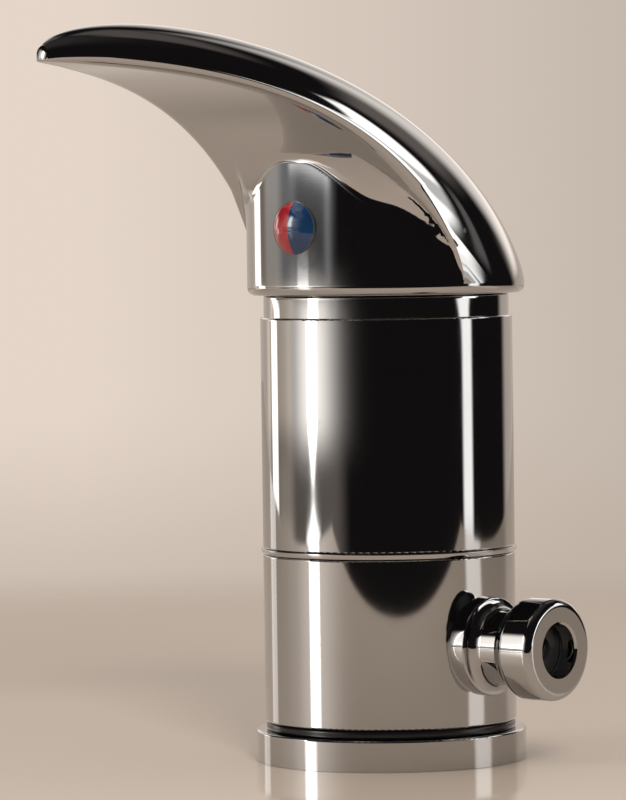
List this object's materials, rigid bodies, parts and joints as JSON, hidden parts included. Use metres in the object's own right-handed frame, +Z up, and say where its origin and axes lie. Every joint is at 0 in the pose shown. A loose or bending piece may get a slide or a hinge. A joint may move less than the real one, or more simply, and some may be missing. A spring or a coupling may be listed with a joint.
{
  "type": "single-lever shower mixer",
  "caption": "Deck-standing single-lever shower mixer with a claw-shaped lever over a round body and a side hose outlet on a swivel collar.",
  "frame": {"origin": "centre of the face that stands on the deck, on the body axis", "axes": "+Z up along the body axis; -Y towards the user, where the lever points; +X along the hose outlet at rest"},
  "size_m": [0.0674, 0.1199, 0.1383],
  "materials": {
    "chrome": "polished chrome plating on brass",
    "brass": "turned brass",
    "black_plastic": "black moulded plastic",
    "rubber": "black nitrile rubber",
    "ceramic": "lapped alumina",
    "cartridge_plastic": "off-white moulded plastic",
    "steel": "stainless steel",
    "red_enamel": "glossy red plastic",
    "blue_enamel": "glossy blue plastic"
  },
  "bodies": {
    "mixer_body": {"base_flange": "chrome", "base_gasket": "rubber", "lower_slip_ring": "black_plastic", "valve_body": "chrome", "seam_ring": "chrome", "collar_o_rings": "rubber", "cartridge_base": "cartridge_plastic", "cartridge_port_seals": "rubber", "fixed_disc": "ceramic", "cartridge_housing": "cartridge_plastic", "cartridge_nut": "brass", "dome_cover": "chrome"},
    "outlet_collar": {"swivel_collar": "chrome", "outlet_end_ring": "chrome", "outlet_washer": "rubber", "check_valve_housing": "black_plastic"},
    "check_poppet": {"check_valve_poppet": "black_plastic", "check_valve_spring": "steel"},
    "rotor": {"cartridge_rotor": "cartridge_plastic", "rotor_o_ring": "rubber", "stem_pivot_pin": "steel"},
    "disc_slide": {"disc_carrier": "cartridge_plastic", "moving_disc": "ceramic"},
    "lever": {"handle": "chrome", "cartridge_stem": "steel", "handle_grub_screw": "steel", "indicator_base": "black_plastic", "indicator_red": "red_enamel", "indicator_blue": "blue_enamel"}
  },
  "joints": [
    {"name": "temperature_swing", "type": "hinge", "parent": "mixer_body", "child": "rotor", "pos_m": [0, 0, 0.079], "axis": [0, 0, 1], "range_deg": [-50, 50]},
    {"name": "flow_lift", "type": "hinge", "parent": "rotor", "child": "lever", "pos_m": [0, 0, 0.079], "axis": [-1, 0, 0], "range_deg": [0, 25]},
    {"name": "disc_slide", "type": "slide", "parent": "rotor", "child": "disc_slide", "axis": [0, -1, 0], "range_m": [0, 0.00655]},
    {"name": "outlet_swivel", "type": "hinge", "parent": "mixer_body", "child": "outlet_collar", "pos_m": [0, 0, 0.0225], "axis": [0, 0, 1], "continuous": true},
    {"name": "check_valve_open", "type": "slide", "parent": "outlet_collar", "child": "check_poppet", "axis": [1, 0, 0], "range_m": [0, 0.002], "stiffness_N_per_m": 60, "springref_m": -0.001, "deforming": ["check_valve_spring"]}
  ],
  "couplings": [
    {"joint": "disc_slide", "follows": "flow_lift", "m_per_rad": 0.015}
  ]
}
